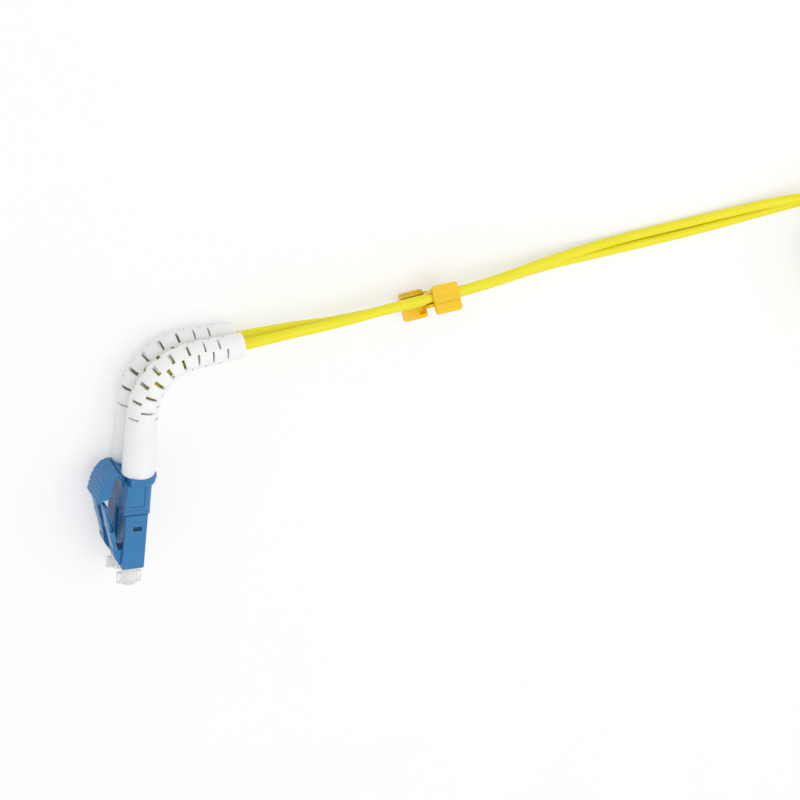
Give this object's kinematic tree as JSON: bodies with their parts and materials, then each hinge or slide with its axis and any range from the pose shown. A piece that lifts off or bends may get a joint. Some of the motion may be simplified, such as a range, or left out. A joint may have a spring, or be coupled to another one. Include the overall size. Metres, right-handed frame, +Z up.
{
  "type": "lc fibre connector",
  "caption": "Duplex plug for optical fibre with a trigger over its latches, slotted boots flexed to one side, thin cords in a cord clip, and the spare cord wound into a coil.",
  "frame": {"origin": "the resting side of the duplex clip, at the middle of the clip's length, below both plug axes", "axes": "-Y the way both plugs point, +Z up and from the lower plug axis to the upper one, -X the latch and trigger side, boots bend towards +X"},
  "size_m": [0.1912, 0.0746, 0.0132],
  "materials": {
    "blue_plastic": "moulded, slightly glossy",
    "white_boot": "soft moulded elastomer",
    "yellow_jacket": "extruded jacket, satin",
    "amber_plastic": "moulded",
    "clear_cap": "milky soft plastic",
    "white_ceramic": "polished zirconia",
    "flange_metal": "nickel plated",
    "spring_steel": "bright wire",
    "crimp_metal": "nickel plated",
    "tie_fabric": "woven hook and loop tape"
  },
  "bodies": {
    "connector": {"plug_housing_lower": "blue_plastic", "plug_housing_upper": "blue_plastic", "backbone_lower": "blue_plastic", "backbone_upper": "blue_plastic", "crimp_sleeve_lower": "crimp_metal", "crimp_sleeve_upper": "crimp_metal", "boot_lower": "white_boot", "boot_upper": "white_boot", "jacket_lower": "yellow_jacket", "jacket_upper": "yellow_jacket", "cord_lower": "yellow_jacket", "cord_upper": "yellow_jacket", "coil_lower": "yellow_jacket", "coil_upper": "yellow_jacket", "clip_base": "blue_plastic", "clip_cover": "blue_plastic", "cord_clip": "amber_plastic", "coil_tie_near": "tie_fabric", "coil_tie_far": "tie_fabric", "ferrule_spring_lower": "spring_steel", "ferrule_spring_upper": "spring_steel"},
    "trigger": {"trigger": "blue_plastic"},
    "latch_lower": {"latch_arm_lower": "blue_plastic"},
    "ferrule_lower": {"ferrule_lower": "white_ceramic", "ferrule_flange_lower": "flange_metal"},
    "cap_lower": {"dust_cap_lower": "clear_cap"},
    "latch_upper": {"latch_arm_upper": "blue_plastic"},
    "ferrule_upper": {"ferrule_upper": "white_ceramic", "ferrule_flange_upper": "flange_metal"},
    "cap_upper": {"dust_cap_upper": "clear_cap"}
  },
  "joints": [
    {"name": "trigger_press", "type": "hinge", "parent": "connector", "child": "trigger", "pos_m": [-0.00315, 0.00345, 0.00622], "axis": [0, 0, 1], "range_deg": [0, 9], "stiffness_Nm_per_rad": 0.02},
    {"name": "latch_lower_flex", "type": "hinge", "parent": "connector", "child": "latch_lower", "pos_m": [-0.00345, -0.0119, 0.0031], "axis": [0, 0, 1], "range_deg": [-5.4, 0]},
    {"name": "ferrule_lower_float", "type": "slide", "parent": "connector", "child": "ferrule_lower", "axis": [0, 1, 0], "range_m": [0, 0.0009], "stiffness_N_per_m": 20, "deforming": ["ferrule_spring_lower"]},
    {"name": "cap_lower_pull", "type": "slide", "parent": "connector", "child": "cap_lower", "axis": [0, -1, 0], "range_m": [0, 0.008]},
    {"name": "latch_upper_flex", "type": "hinge", "parent": "connector", "child": "latch_upper", "pos_m": [-0.00345, -0.0119, 0.00935], "axis": [0, 0, 1], "range_deg": [-5.4, 0]},
    {"name": "ferrule_upper_float", "type": "slide", "parent": "connector", "child": "ferrule_upper", "axis": [0, 1, 0], "range_m": [0, 0.0009], "stiffness_N_per_m": 20, "deforming": ["ferrule_spring_upper"]},
    {"name": "cap_upper_pull", "type": "slide", "parent": "connector", "child": "cap_upper", "axis": [0, -1, 0], "range_m": [0, 0.008]}
  ],
  "couplings": [
    {"joint": "latch_lower_flex", "follows": "trigger_press", "ratio": -0.6},
    {"joint": "latch_upper_flex", "follows": "trigger_press", "ratio": -0.6}
  ]
}
